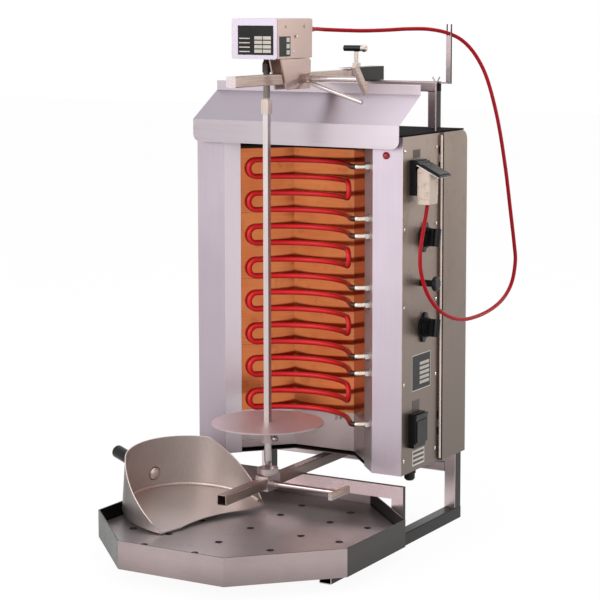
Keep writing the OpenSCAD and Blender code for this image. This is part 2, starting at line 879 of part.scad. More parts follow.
module bracket_side() polygon([
    [spit_y - bracket_front, motor_z], [spit_y + bracket_back - 2, motor_z],
    [spit_y + bracket_back + 3, motor_z - 5],
    [spit_y + bracket_back, motor_z - bracket_h], [spit_y + 6, motor_z - bracket_h]
]);

module motor_bracket() color("rosybrown") at_machine() {
    boss = bracket_boss;
    block_front = spit_y + (bracket_back - bracket_block) * 0.75;
    difference() {
        union() {
            translate([bracket_x, 0, 0]) along_width(bracket_t) bracket_side();
            translate([bracket_x + bracket_t, clamp_rod_y, upper_arm_mid])
                to_right() cylinder(h = boss, d = 17);
        }
        translate([bracket_x - 1, clamp_rod_y, upper_arm_mid])
            to_right() cylinder(h = boss + bracket_t + 2, d = rod_d + 2 * turn_gap);
    }
    translate([2 * upper_arm_x - bracket_x - bracket_t, 0, 0])
        along_width(bracket_t) bracket_side();
    translate([2 * upper_arm_x - bracket_x, block_front, upper_arm_z + arm_tube + slide_gap])
        cube([2 * (bracket_x - upper_arm_x), bracket_block, motor_lift - slide_gap]);
}

// A clamp screw along X with a flat crosspiece at its end
module clamp_screw(length, lean) {
    to_right() cylinder(h = length, d = rod_d);
    translate([length - 3, 0, 0]) rotate([lean, 0, 0])
        translate([0, -6.5, -cross_len / 2]) cube([8, 13, cross_len]);
}

upper_rod_len = 122;
lower_rod_len = 144;
lever_len = 118;
lever_d = 5.5;
lever_ring = 6;
lever_ring_d = 20;
lever_slant = 17;

module upper_clamp_screw() color("gainsboro") at_machine()
    translate([upper_arm_x + arm_tube / 2 + rest_gap, clamp_rod_y, upper_arm_mid])
        clamp_screw(upper_rod_len, 41);

module lock_lever() color("gainsboro") at_machine() {
    ring = lever_ring;
    translate([bracket_x + bracket_t + bracket_boss + rest_gap, clamp_rod_y, upper_arm_mid]) {
        difference() {
            union() {
                to_right() cylinder(h = ring, d = lever_ring_d);
                translate([1, 0, 1.8 - lever_ring_d / 2]) rotate([0, 90 + lever_slant, 0])
                    cylinder(h = lever_len, d = lever_d);
            }
            translate([-1, 0, 0]) to_right()
                cylinder(h = ring + 2, d = rod_d + 2 * turn_gap);
        }
    }
}

// ---- spit ----

socket_in = skewer_s + 2 * 0.3;
sleeve_z = motor_z - 102;
skewer_top = sleeve_z + 11;
lift_room = 14;

module drive_shaft() color("silver") at_machine()
    translate([0, spit_y, 0]) {
        difference() {
            translate([-7.5, -7.5, sleeve_z]) cube([15, 15, 27]);
            translate([-socket_in / 2, -socket_in / 2, sleeve_z - 1])
                cube([socket_in, socket_in, 12 + lift_room]);
        }
        translate([0, 0, sleeve_z + 27]) cylinder(h = 50, d = 12.7);
        translate([0, 0, motor_z - 25]) cylinder(h = 16, d = 16);
        translate([0, 0, motor_z - 9]) cylinder(h = 6, d1 = 16, d2 = 11);
        translate([0, 0, motor_z - 3]) cylinder(h = 3 - rest_gap, d = 11);
    }

cup_floor = arm_z + arm_tube + 11;
hub_z = disc_z - hub_len;
tip_z = cup_floor + rest_gap;
shoulder_z = cup_floor + 20;

module skewer() color("gray") at_machine()
    translate([0, spit_y, 0]) {
        translate([-skewer_s / 2, -skewer_s / 2, hub_z - 1])
            cube([skewer_s, skewer_s, skewer_top - hub_z + 1]);
        translate([0, 0, shoulder_z]) cylinder(h = hub_z - shoulder_z, d = foot_d);
        translate([0, 0, tip_z]) cylinder(h = shoulder_z - tip_z, d1 = 5, d2 = foot_d);
    }

hub_d = 24;
hub_bore = skewer_s + 2 * 0.3;
disc_screw_z = hub_z + 9;

module meat_disc() color("rosybrown") at_machine()
    translate([0, spit_y, 0]) difference() {
        union() {
            translate([0, 0, disc_z]) cylinder(h = disc_t, d = disc_d, $fn = 96);
            translate([0, 0, hub_z]) cylinder(h = hub_len, d = hub_d);
            translate([0, 0, disc_z - 4]) cylinder(h = 4, d1 = hub_d, d2 = hub_d + 14);
        }
        translate([-hub_bore / 2, -hub_bore / 2, hub_z - 1])
            cube([hub_bore, hub_bore, hub_len + disc_t + 2]);
        translate([0, 0, disc_screw_z]) to_right() cylinder(h = hub_d, d = 6 + 2 * turn_gap);
    }

module disc_screw() color("silver") at_machine()
    translate([skewer_s / 2 + rest_gap, spit_y, disc_screw_z]) {
        to_right() cylinder(h = 16, d = 6);
        translate([8, 0, 0]) to_right() cylinder(h = 6, d = 11);
        for (a = [-32, 32])
            translate([10, 0, 0]) rotate([a, 0, 0]) translate([-1.2, -1.5, 0]) {
                translate([0, 1.5, a > 0 ? 13 : 13]) rotate([0, 90, 0]) cylinder(h = 2.4, d = 9);
                translate([0, -2, 0]) cube([2.4, 7, 13]);
            }
    }

block_w = arm_tube + 7;
block_len = 46;

module lower_carriage() color("silver") at_machine()
    translate([0, spit_y, 0]) {
        block_h = arm_tube + 8;
        difference() {
            union() {
                translate([-block_w / 2, -block_len / 2, arm_z - 4])
                    cube([block_w, block_len, block_h]);
                translate([block_w / 2, 0, arm_z + 7]) to_right() cylinder(h = 4, d = 16);
                translate([0, 0, arm_z + arm_tube + 4]) cylinder(h = 4, d = 26);
                translate([0, 0, cup_floor - 4]) cylinder(h = 10, d = cup_d);
            }
            translate([-sleeve_in / 2, -block_len / 2 - 1, arm_z - slide_gap])
                cube([sleeve_in, block_len + 2, sleeve_in]);
            translate([0, 0, cup_floor]) cylinder(h = 10, d = cup_d - 6);
            translate([arm_tube / 2, 0, arm_z + 7]) to_right()
                cylinder(h = block_w, d = rod_d + 2 * turn_gap);
        }
    }

module lower_clamp_screw() color("gainsboro") at_machine()
    translate([arm_tube / 2 + rest_gap, spit_y, arm_z + 7]) {
        clamp_screw(lower_rod_len, 90);
        translate([block_w / 2 + 4 - arm_tube / 2, 0, 0]) to_right() cylinder(h = 5, d = 14);
    }

// ---- tray, plate and scoop ----

module drip_tray() color("rosybrown") at_machine()
    translate([0, tray_y, base_tube]) difference() {
        linear_extrude(tray_h) octagon(tray_w);
        translate([0, 0, tray_t]) linear_extrude(tray_h - hem_h - tray_t)
            octagon(tray_w - 2 * tray_t);
        translate([0, 0, tray_h - hem_h - 0.01]) linear_extrude(hem_h + 1)
            octagon(tray_w - 2 * hem_t);
    }

hole_rows = [-hole_outer, -hole_pitch, 0, hole_pitch, hole_outer];

module drip_plate() color("dimgray") at_machine() {
    plate_t = 1.2;
    plate_w = tray_w - 2 * hem_t - 2;
    flange = plate_lift - tray_t;
    translate([0, tray_y, base_tube + tray_t]) difference() {
        linear_extrude(flange) octagon(plate_w);
        translate([0, 0, -1]) linear_extrude(flange - plate_t + 1)
            octagon(plate_w - 2 * plate_t);
        for (x = hole_rows, y = hole_rows)
            if (abs(x) + abs(y) < 2 * hole_outer - 1)
                translate([x, y, 0]) cylinder(h = flange + 1, d = hole_d);
    }
}

// The scoop's own frame: its floor is the XY plane, its middle the origin
tip_angle = -76;
end_angle = 45;
scoop_tip = scoop_r * [cos(tip_angle), sin(tip_angle)];
tip_fall = scoop_tip * [cos(scoop_dir), sin(scoop_dir)] * sin(scoop_tilt);
module at_scoop()
    translate([scoop_x, scoop_y, plate_top + rest_gap - tip_fall])
        rotate(scoop_dir) rotate([0, -scoop_tilt, 0]) rotate(-scoop_dir) children();

// The hollow front edge passes through the tip and the wall's other end
scoop_end = scoop_r * [cos(end_angle), sin(end_angle)];
front_mid = (scoop_tip + scoop_end) / 2;
front_half = norm(scoop_end - scoop_tip) / 2;
front_to = sqrt(scoop_front_r * scoop_front_r - front_half * front_half);
front_centre = front_mid - front_to * left_of(scoop_tip, scoop_end);
cut_lean = 36;
cut_rise = 37;

module scoop() color("silver") at_machine() at_scoop() {
    difference() {
        cylinder(h = scoop_h, r = scoop_r, $fn = 128);
        translate([0, 0, scoop_t]) cylinder(h = scoop_h, r = scoop_r - scoop_t, $fn = 128);
        translate([front_centre[0], front_centre[1], -1])
            cylinder(h = scoop_h + 2, r = scoop_front_r, $fn = 128);
        rotate((tip_angle + end_angle) / 2) translate([0, 0, cut_rise])
            rotate([0, cut_lean - 1, 0]) translate([-3 * scoop_r, -2 * scoop_r, 0])
                cube([6 * scoop_r, 4 * scoop_r, 3 * scoop_r]);
    }
    rotate(boss_angle) translate([scoop_r - scoop_t + 0.2, 0, boss_z])
        rotate([0, -90, 0]) rotate_extrude() intersection() {
            translate([0, -5]) circle(11);
            square([12, 7]);
        }
}

module scoop_handle() color("#222222") at_machine() at_scoop()
    rotate(boss_angle) translate([scoop_r, 0, boss_z])
        rotate([0, 90 - handle_rise, 0]) {
        translate([0, 0, 0.6]) cylinder(h = handle_set + 4, d = 12);
        translate([0, 0, handle_set]) rotate_extrude() {
            square([handle_d / 2 - 3, handle_len]);
            translate([0, 3]) square([handle_d / 2, handle_len - 6]);
            translate([handle_d / 2 - 3, 3]) circle(3);
            translate([handle_d / 2 - 3, handle_len - 3]) circle(3);
        }
    }

// ---- motor cord ----

// Route of the cord, from the motor over the tall fork and down to the plug
cord_route = [
    [30, -251.5, 983], [31, -238, 983], [35, -222, 982], [45, -203, 981],
    [60, -181, 980], [84, -148, 979], [112, -110, 980], [141, -74, 982],
    [171, -40, 981], [199, -10, 972.5], [220, 14, 956], [240, 31, 926],
    [260, 40, 880], [280, 46, 802], [295, 51, 710], [304, 57, 626],
    [309, 68, 551], [310, 71, 517], [308, 58, 476], [304, 22, 447],
    [297, -35, 430], [288, -103, 425], [280, -151, 433], [272, -195, 454],
    [265, -229, 487], [260, -247, 529], [258, -248, 563], [257, -239, 594],
    [256, -223, 630], [256, -214, 657]
];
cord_steps = 3;
cord_sides = 8;

function spline(a, b, c, d, t) =
    0.5 * (2 * b + (c - a) * t + (2 * a - 5 * b + 4 * c - d) * t * t
        + (3 * b - a - 3 * c + d) * t * t * t);
function route_point(i) = cord_route[min(max(i, 0), len(cord_route) - 1)];
function cord_points() = [
    for (i = [0:len(cord_route) - 2], s = [0:cord_steps - 1])
        if (i > 4 || s != 1)
            spline(route_point(i - 1), route_point(i), route_point(i + 1),
                route_point(i + 2), s / cord_steps),
    route_point(len(cord_route) - 1)
];
module motor_cord() color("firebrick") at_machine()
    tube_along(cord_points(), cord_d, cord_sides);

cord_end = cord_route[len(cord_route) - 1];

module plug_side() {
    x = panel_x + socket_t;
    top = upper_socket_z + 49;
    polygon([
        [x + 1, cord_end[2]], [x, cord_end[2] + 14], [x, top - 6], [x + 3, top + 1],
        [x + 9, top + 5], [x + 26, top - 3.5], [x + 30, top - 8],
        [x + 30, cord_end[2] + 30], [x + 27, cord_end[2]]
    ]);
}

module cord_plug() color("wheat") at_machine()
    intersection() {
        translate([0, cord_end[1] + 19, 0]) to_front() linear_extrude(38) plug_side();
        translate([panel_x + socket_t + 15, cord_end[1], cord_end[2] - 1])
            linear_extrude(100) round_rect(30.01, 37, 6);
    }

base_rails();
frame_uprights();
frame_crossbars();
lower_arm();
left_column();
right_column();
left_side_panel();
right_side_panel();
rear_panel();
housing_floor();
top_plate();
control_panel();
chamber_skirt();
reflector_1();
reflector_2();
reflector_3();
reflector_4();
heating_element_1();
heating_element_2();
heating_element_3();
heating_element_4();
terminal_strip();
terminal_nuts();
hood();
signal_lamp();
upper_posts();
upper_crossbar();
arm_sleeve();
upper_arm();
clamp_handle();
cord_forks();
socket_boxes();
upper_lid();
lower_lid();
switch_rosettes();
upper_switch_knob();
lower_switch_knob();
pull_knob();
mains_gland();
panel_screws();
side_shield();
motor_housing();
motor_cover();
motor_gland();
motor_bracket();
upper_clamp_screw();
lock_lever();
drive_shaft();
skewer();
meat_disc();
disc_screw();
lower_carriage();
lower_clamp_screw();
drip_tray();
drip_plate();
scoop();
scoop_handle();
motor_cord();
cord_plug();
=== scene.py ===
"""Looks of the electric skewer grill, built round its CAD model.

Metres, in the model's own frame. at() takes the millimetres of the machine's own frame, in which
part.scad is written.
"""
import json
import math

import bpy
from mathutils import Matrix, Vector


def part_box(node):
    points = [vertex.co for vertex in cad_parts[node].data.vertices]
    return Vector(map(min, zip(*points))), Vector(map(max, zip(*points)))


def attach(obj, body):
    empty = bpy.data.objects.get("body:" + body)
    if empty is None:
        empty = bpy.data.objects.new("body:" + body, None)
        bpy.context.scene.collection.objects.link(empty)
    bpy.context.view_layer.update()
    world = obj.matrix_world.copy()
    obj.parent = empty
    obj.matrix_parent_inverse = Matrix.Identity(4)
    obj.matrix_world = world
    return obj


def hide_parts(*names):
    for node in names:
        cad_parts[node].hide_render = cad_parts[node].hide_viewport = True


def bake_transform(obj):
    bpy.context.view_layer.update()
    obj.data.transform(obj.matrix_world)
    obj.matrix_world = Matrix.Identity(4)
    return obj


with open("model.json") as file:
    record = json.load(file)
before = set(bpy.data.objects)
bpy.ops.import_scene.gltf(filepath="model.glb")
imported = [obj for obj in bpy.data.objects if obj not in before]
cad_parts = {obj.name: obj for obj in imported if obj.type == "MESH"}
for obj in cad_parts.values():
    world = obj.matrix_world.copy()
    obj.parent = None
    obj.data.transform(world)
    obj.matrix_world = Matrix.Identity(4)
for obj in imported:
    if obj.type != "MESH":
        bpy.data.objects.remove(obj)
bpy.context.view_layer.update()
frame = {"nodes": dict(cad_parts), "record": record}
nodes = frame["nodes"]

# The machine's own zero: middle of the rails, their rear end, the table
rails_lo, rails_hi = (Vector(c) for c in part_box("base_rails"))
ZERO = Vector(((rails_lo.x + rails_hi.x) / 2, rails_hi.y, 0.0))


def at(x, y, z):
    """A point given in the machine's millimetres."""
    return ZERO + Vector((x, y, z)) / 1000


# ---- camera ----

FOCAL_PX = 1958.4
PITCH, AZIMUTH = 6.5714, 29.5893


def make_camera():
    data = bpy.data.cameras.new("camera")
    data.sensor_width = 36
    data.lens = FOCAL_PX * 36 / 600
    data.shift_x, data.shift_y = -0.0406, -0.12
    data.clip_end = 60
    cam = bpy.data.objects.new("camera", data)
    cam.location = at(1895.9, -3495.2, 1033.4)
    cam.rotation_euler = (math.radians(90 - PITCH), 0, math.radians(AZIMUTH))
    bpy.context.scene.collection.objects.link(cam)
    bpy.context.scene.camera = cam


make_camera()

# ---- node-tree helpers ----


def srgb(r, g, b, a=1.0):
    def line(v):
        v /= 255
        return v / 12.92 if v <= 0.04045 else ((v + 0.055) / 1.055) ** 2.4

    return (line(r), line(g), line(b), a)


def is_socket(v):
    return isinstance(v, bpy.types.NodeSocket)


class Tree:
    """A short way to write a material's nodes."""

    def __init__(self, name, data=None):
        self.mat = data or bpy.data.materials.new(name)
        self.mat.use_nodes = True
        self.tree = self.mat.node_tree
        self.bsdf = self.tree.nodes.get("Principled BSDF")
        place = self.add("ShaderNodeTexCoord")
        self.coord = place.outputs["Object"]
        self.direction = place.outputs["Generated"]

    def add(self, kind, **sockets):
        node = self.tree.nodes.new(kind)
        for key, value in sockets.items():
            self.feed(node.inputs[key.replace("_", " ")], value)
        return node

    def feed(self, socket, value):
        if is_socket(value):
            self.tree.links.new(value, socket)
        else:
            socket.default_value = value

    def shader(self, **sockets):
        for key, value in sockets.items():
            self.feed(self.bsdf.inputs[key.replace("_", " ")], value)

    def stretched(self, scale):
        node = self.add("ShaderNodeMapping", Vector=self.coord)
        node.inputs["Scale"].default_value = scale
        return node.outputs[0]

    def noise(self, scale, detail, vector=None, rough=0.55):
        node = self.add("ShaderNodeTexNoise", Vector=vector or self.coord)
        node.inputs["Scale"].default_value = scale
        node.inputs["Detail"].default_value = detail
        node.inputs["Roughness"].default_value = rough
        return node.outputs["Fac"]

    def spread(self, value, low, high, start=0.3, stop=0.7):
        node = self.add("ShaderNodeMapRange", Value=value)
        for i, v in zip((1, 2, 3, 4), (start, stop, low, high)):
            node.inputs[i].default_value = v
        return node.outputs[0]

    def mix(self, fac, a, b, kind="MIX"):
        node = self.tree.nodes.new("ShaderNodeMix")
        node.data_type, node.blend_type = "RGBA", kind
        for i, v in ((0, fac), (6, a), (7, b)):
            self.feed(node.inputs[i], v)
        return node.outputs[2]

    def math(self, kind, *values):
        node = self.tree.nodes.new("ShaderNodeMath")
        node.operation = kind
        for i, v in enumerate(values):
            self.feed(node.inputs[i], v)
        return node.outputs[0]

    def dot(self, vector, way):
        node = self.tree.nodes.new("ShaderNodeVectorMath")
        node.operation = "DOT_PRODUCT"
        self.feed(node.inputs[0], vector)
        node.inputs[1].default_value = way
        return node.outputs["Value"]

    def facing(self, way, start=0.5, stop=0.95):
        """1 on faces that look along way, 0 on the others."""
        normal = self.add("ShaderNodeNewGeometry").outputs["Normal"]
        return self.spread(self.dot(normal, way), 0, 1, start, stop)

    def bump(self, height, strength, distance):
        node = self.add("ShaderNodeBump", Height=height)
        node.inputs["Strength"].default_value = strength
        node.inputs["Distance"].default_value = distance
        return node.outputs[0]

    def sees_background(self):
        """1 for rays that see the plain background, the camera's and those in metal or glass."""
        path = self.add("ShaderNodeLightPath")
        rays = self.math("ADD", path.outputs["Is Camera Ray"], path.outputs["Is Glossy Ray"])
        rays = self.math("ADD", rays, path.outputs["Is Transmission Ray"])
        return self.math("MINIMUM", rays, 1.0)


def shade(colour, k):
    return tuple(min(1.0, c * k) for c in colour[:3]) + (1.0,)


def brushed(name, colour, rough, grain, depth, vary, blotch, metallic=0.92, gloss=0.5, dirt=None,
            front=None, way=(0, -1, 0), span=(0.5, 0.95), fall=(), painted_shade=()):
    """Sheet or bar metal: a fine grain, uneven sheen, faint stains, and painted light and shade.

    grain is the noise's scale along each axis, and front the colour painted on the faces that look
    along way: painted light on them in some looks, painted shade in others. fall is one or more
    (axis, low, high, least): the tone drops to least at low, a painted shade in most looks and the
    drive shaft's own darker steel in one. The last argument is one or more (axis, low, high,
    colour): a painted shade line, from that colour at low to the metal's own at high.
    """
    t = Tree(name)
    xyz = t.add("ShaderNodeSeparateXYZ", Vector=t.coord)
    fine = t.noise(1.0, 2.0, t.stretched(grain))
    wide = t.noise(5.0, 3.0)
    base = t.mix(t.spread(fine, 0, 1), shade(colour, 1 - vary), shade(colour, 1 + vary))
    # The faces that look along way take the front colour: painted light and shade, not a tone of
    # the metal
    if front:
        painted_face_tone = t.mix(t.spread(fine, 0, 1), shade(front, 1 - vary), shade(front, 1 + vary))
        base = t.mix(t.facing(way, *span), base, painted_face_tone)
    tone = t.spread(wide, 1 - blotch, 1.0)
    # Painted shade along an axis, except on the drive shaft, where it is the shaft's own darker
    # steel
    for axis, low, high, least in fall:
        tone = t.math("MULTIPLY", tone, t.spread(xyz.outputs[axis], least, 1.0, low, high))
    # Painted shade lines in a colour of their own
    for axis, low, high, shade_tint in painted_shade:
        base = t.mix(t.spread(xyz.outputs[axis], 1, 0, low, high), base, shade_tint)
    grey = t.add("ShaderNodeCombineColor", Red=tone, Green=tone, Blue=tone)
    base = t.mix(1.0, base, grey.outputs[0], "MULTIPLY")
    if dirt:
        spots = t.spread(t.noise(38.0, 6.0, rough=0.7), 0, 0.5, 0.56, 0.72)
        base = t.mix(spots, base, dirt)
    sheen = t.math("ADD", t.spread(fine, -0.05, 0.05), t.spread(wide, rough - 0.05, rough + 0.06))
    t.shader(Base_Color=base, Roughness=sheen, Metallic=metallic, Specular_IOR_Level=gloss,
             Normal=t.bump(fine, depth, 0.0004))
    return t.mat


def plastic(name, colour, rough, grain=900.0, depth=0.12, blotch=0.12, coat=0.0, gloss=0.25,
            stain=None):
    """Moulded plastic, paint or print: a fine skin, and stains where one is given."""
    t = Tree(name)
    fine = t.noise(grain, 2.0)
    wide = t.noise(24.0, 4.0)
    base = t.mix(t.spread(wide, 0, 1), shade(colour, 1 - blotch), shade(colour, 1 + blotch))
    if stain:
        base = t.mix(t.spread(t.noise(70.0, 5.0, rough=0.7), 0, 0.7, 0.52, 0.66), base, stain)
    t.shader(Base_Color=base, Roughness=t.spread(wide, rough - 0.06, rough + 0.08),
             Normal=t.bump(fine, depth, 0.0002), Coat_Weight=coat, Coat_Roughness=0.12,
             Specular_IOR_Level=gloss)
    return t.mat


def clamp_look():
    """Bright screw and collar under a black cross grip, whose round end stays bright."""
    t = Tree("clamp_grip")
    xyz = t.add("ShaderNodeSeparateXYZ", Vector=t.coord)
    fine = t.noise(900.0, 2.0)
    base = t.mix(t.spread(fine, 0, 1), srgb(200, 188, 180), srgb(222, 210, 202))
    grip_foot, grip_end, edge = at(0, 0, 936.5).z, at(38.2, 0, 0).x, 0.0004
    grip = t.math("MULTIPLY", t.spread(xyz.outputs["Z"], 0, 1, grip_foot, grip_foot + edge),
                  t.spread(xyz.outputs["X"], 1, 0, grip_end, grip_end + edge))
    base = t.mix(grip, base, srgb(18, 18, 19))
    t.shader(Base_Color=base, Metallic=t.spread(grip, 0.9, 0.0, 0, 1), Specular_IOR_Level=0.3,
             Roughness=t.spread(fine, 0.26, 0.34), Normal=t.bump(fine, 0.05, 0.0003))
    return t.mat


def reflector_look():
    """Glossy sheet tanned by heat, with fine streaks and stains; painted light on its right wing, a
    paler and duller tone, and a painted black shadow under the head strip.
    """
    t = Tree("tanned_mirror")
    xyz = t.add("ShaderNodeSeparateXYZ", Vector=t.coord)
    fine = t.noise(1.0, 2.0, t.stretched((14, 14, 700)))
    wide = t.noise(7.0, 4.0)
    base = t.mix(t.spread(wide, 0, 1), srgb(188, 98, 56), srgb(208, 124, 74))
    # Painted light: the right wing takes a paler, duller tone for the light that falls on it
    right_wing_light = t.spread(xyz.outputs["X"], 0, 1, 0.085, 0.13)
    base = t.mix(right_wing_light, base, srgb(192, 122, 82))
    base = t.mix(t.spread(fine, 0, 0.25), base, srgb(136, 62, 38))
    spots = t.spread(t.noise(30.0, 6.0, rough=0.7), 0, 0.45, 0.56, 0.74)
    base = t.mix(spots, base, srgb(122, 58, 36))
    # Painted shadow: near black under the head strip
    head_shadow = t.spread(xyz.outputs["Z"], 0, 1, 0.7475, 0.7490)
    base = t.mix(head_shadow, base, srgb(30, 20, 18))
    t.shader(Base_Color=base, Metallic=0.95, Roughness=t.spread(wide, 0.10, 0.20),
             Normal=t.bump(fine, 0.03, 0.0003))
    return t.mat


def element_look():
    """The heating tube: dull red oxide, with painted shade making it darker and browner towards its
    edges as seen.
    """
    t = Tree("element_red")
    fine = t.noise(1600.0, 3.0)
    wide = t.noise(11.0, 3.0)
    rim = t.add("ShaderNodeLayerWeight", Blend=0.35).outputs["Facing"]
    base = t.mix(t.spread(wide, 0, 1), srgb(214, 16, 30), srgb(230, 26, 40))
    # Painted shade: darker and browner where the tube turns away from view
    base = t.mix(t.spread(rim, 0, 1, 0.2, 0.62), base, srgb(126, 10, 18))
    t.shader(Base_Color=base, Roughness=t.spread(fine, 0.30, 0.44), Specular_IOR_Level=0.35,
             Normal=t.bump(fine, 0.10, 0.0002))
    return t.mat


# Scales of the grain's noise: it runs along the axis of the small number, and EVEN_GRAIN nowhere
GRAIN_X, GRAIN_Y, GRAIN_Z = (7, 500, 500), (900, 14, 900), (500, 500, 7)
BAR_GRAIN, EVEN_GRAIN = (900, 900, 14), (500, 500, 500)
# The side sheets' tone drop is a painted shade, darker towards their bottom
SIDE_GRAIN, SIDE_SHADE = (900, 900, 9), ("Z", 0.15, 0.80, 0.50)

# The slots' looks: colour, roughness, grain, its depth, its tones, blotches
MATERIALS = {
    # Painted light on faces looking forward, barely lighter
    "polished_steel": brushed("lilac_sheet", srgb(204, 190, 200), 0.36, GRAIN_Z, 0.02, 0.02, 0.05,
                              front=srgb(204, 191, 202)),
    # Side sheets: painted light on faces looking forward and painted shade darker towards the
    # bottom; the spots are dirt
    "side_steel": brushed("side_sheet", srgb(163, 146, 134), 0.36, SIDE_GRAIN, 0.05, 0.05, 0.08,
                          metallic=0.78, dirt=srgb(119, 104, 92), front=srgb(228, 209, 202),
                          fall=[SIDE_SHADE]),
    # Painted light on faces looking forward
    "tube_steel": brushed("bright_tube", srgb(182, 164, 153), 0.30, GRAIN_Y, 0.05, 0.06, 0.12,
                          front=srgb(212, 197, 199)),
    # Frame tube: near black as painted shade, with painted light on faces looking forward
    "dark_steel": brushed("tube_in_painted_shade", srgb(40, 37, 36), 0.30, (1300, 1300, 1300), 0.01, 0.02, 0.20,
                          front=srgb(228, 208, 210)),
    "black_plate": brushed("black_top", srgb(24, 23, 23), 0.78, (300, 300, 300), 0.08, 0.10, 0.2,
                           metallic=0.0, gloss=0.04),
    "hot_steel": reflector_look(),
    "skirt_steel": brushed("skirt_sheet", srgb(204, 190, 190), 0.32, (20, 20, 900), 0.02, 0.02,
                           0.12),
    "element_red": element_look(),
    "bright_metal": brushed("bright_metal", srgb(214, 204, 198), 0.24, EVEN_GRAIN, 0.03, 0.04,
                            0.10),
    # Disc: painted shade, darker towards its right side
    "disc_steel": brushed("disc_plate", srgb(208, 186, 188), 0.46, EVEN_GRAIN, 0.04, 0.05, 0.12,
                          metallic=0.6, fall=[("X", 0.17, -0.01, 0.66)]),
    # Tray: darker all over as painted shade, painted light on faces looking forward, painted shade
    # towards the bottom
    "tray_steel": brushed("tray_sheet", srgb(70, 68, 65), 0.38, (60, 60, 700), 0.04, 0.04, 0.22,
                          front=srgb(179, 162, 162), way=(0.38, -0.92, 0), span=(0.5, 0.86),
                          fall=[("Z", 0.024, 0.060, 0.72)]),
    # Plate: painted shade, darker towards the back; the spots are dirt
    "plate_steel": brushed("plate_sheet", srgb(182, 172, 172), 0.36, (10, 700, 10), 0.04, 0.05,
                           0.14, metallic=0.75, dirt=srgb(126, 116, 116),
                           fall=[("Y", 0.16, -0.30, 0.55)]),
    # Scoop: painted shade on faces looking to the left and forward
    "scoop_steel": brushed("scoop_sheet", srgb(214, 201, 196), 0.38, (500, 500, 60), 0.04, 0.05,
                           0.16, metallic=0.7, front=srgb(90, 86, 83), way=(-0.87, -0.5, 0),
                           span=(0.55, 0.95)),
    "black_plastic": plastic("black_plastic", srgb(15, 15, 16), 0.28),
    "lamp_red": plastic("lamp_lens", srgb(164, 10, 28), 0.10, 400.0, 0.02, coat=0.5),
    "cord_red": plastic("cord_sheath", srgb(176, 4, 26), 0.36, 500.0, 0.08, 0.06, gloss=0.2),
    "plug_cream": plastic("plug_moulding", srgb(226, 208, 194), 0.34, 700.0, 0.08, 0.05,
                          stain=srgb(176, 150, 122)),
    # Looks of single nodes
    # Left column: painted light on its cheek, painted shade on its front face and towards the
    # bottom
    "left_lilac": brushed("left_lilac", srgb(255, 244, 249), 0.38, GRAIN_Z, 0.02, 0.02, 0.05,
                          front=srgb(184, 171, 181), metallic=0.8, fall=[("Z", 0.10, 0.55, 0.88)]),
    # Hood: painted light on faces looking forward, painted shade over its left and middle,
    # brightening towards the right end
    "hood_lilac": brushed("hood_lilac", srgb(203, 191, 202), 0.36, GRAIN_X, 0.02, 0.02, 0.05,
                          front=srgb(210, 198, 205), fall=[("X", 0.02, 0.27, 0.70)]),
    # Motor housing: painted shade on faces looking forward
    "motor_lilac": brushed("motor_lilac", srgb(204, 190, 200), 0.36, GRAIN_Z, 0.02, 0.02, 0.05,
                           front=srgb(193, 183, 196)),
    "motor_steel": brushed("motor_sheet", srgb(180, 159, 151), 0.36, GRAIN_Y, 0.02, 0.02, 0.05,
                           metallic=0.85),
    "strip_steel": brushed("strip_sheet", srgb(158, 142, 140), 0.42, GRAIN_Z, 0.03, 0.04, 0.15,
                           metallic=0.5),
    # Shield: painted shade darker towards the bottom and a painted shadow line at its front edge;
    # the spots are dirt
    "shield_steel": brushed("shield_sheet", srgb(154, 138, 126), 0.36, SIDE_GRAIN, 0.05, 0.05, 0.08,
                            metallic=0.78, dirt=srgb(112, 98, 86), fall=[SIDE_SHADE],
                            painted_shade=[("Y", at(0, -104.2, 0).y, at(0, -103.8, 0).y, srgb(34, 30, 28))]),
    # Painted light on faces looking forward
    "skewer_steel": brushed("skewer_bar", srgb(190, 182, 180), 0.34, BAR_GRAIN, 0.04, 0.05, 0.12,
                            front=srgb(204, 196, 194)),
    "shaft_steel": brushed("dark_shaft", srgb(206, 190, 180), 0.28, BAR_GRAIN, 0.03, 0.05, 0.15,
                           fall=[("Z", 0.858, 0.853, 0.34), ("Z", 0.910, 0.880, 0.22)]),
    # Lower arm: painted light on faces looking forward, painted shade darker towards the rear
    "arm_steel": brushed("lower_arm_bar", srgb(168, 148, 138), 0.34, GRAIN_Y, 0.04, 0.05, 0.15,
                         front=srgb(200, 184, 180),
                         fall=[("Y", at(0, -180, 0).y, at(0, -400, 0).y, 0.28)]),
    # Rails: near black as painted shade, with painted light on faces looking forward
    "rail_steel": brushed("rail_bar", srgb(32, 30, 29), 0.34, (400, 400, 400), 0.03, 0.05, 0.25,
                          front=srgb(212, 194, 190)),
    "clamp_grip": clamp_look(),
}
OWN_LOOK = {
    "motor_cover": "motor_steel", "motor_bracket": "motor_steel", "motor_housing": "motor_lilac",
    "left_column": "left_lilac", "hood": "hood_lilac", "terminal_strip": "strip_steel",
    "side_shield": "shield_steel", "skewer": "skewer_steel", "drive_shaft": "shaft_steel",
    "lower_arm": "arm_steel", "base_rails": "rail_steel", "clamp_handle": "clamp_grip",
    "upper_clamp_screw": "tube_steel", "lock_lever": "tube_steel",
    "lower_clamp_screw": "tube_steel",
}

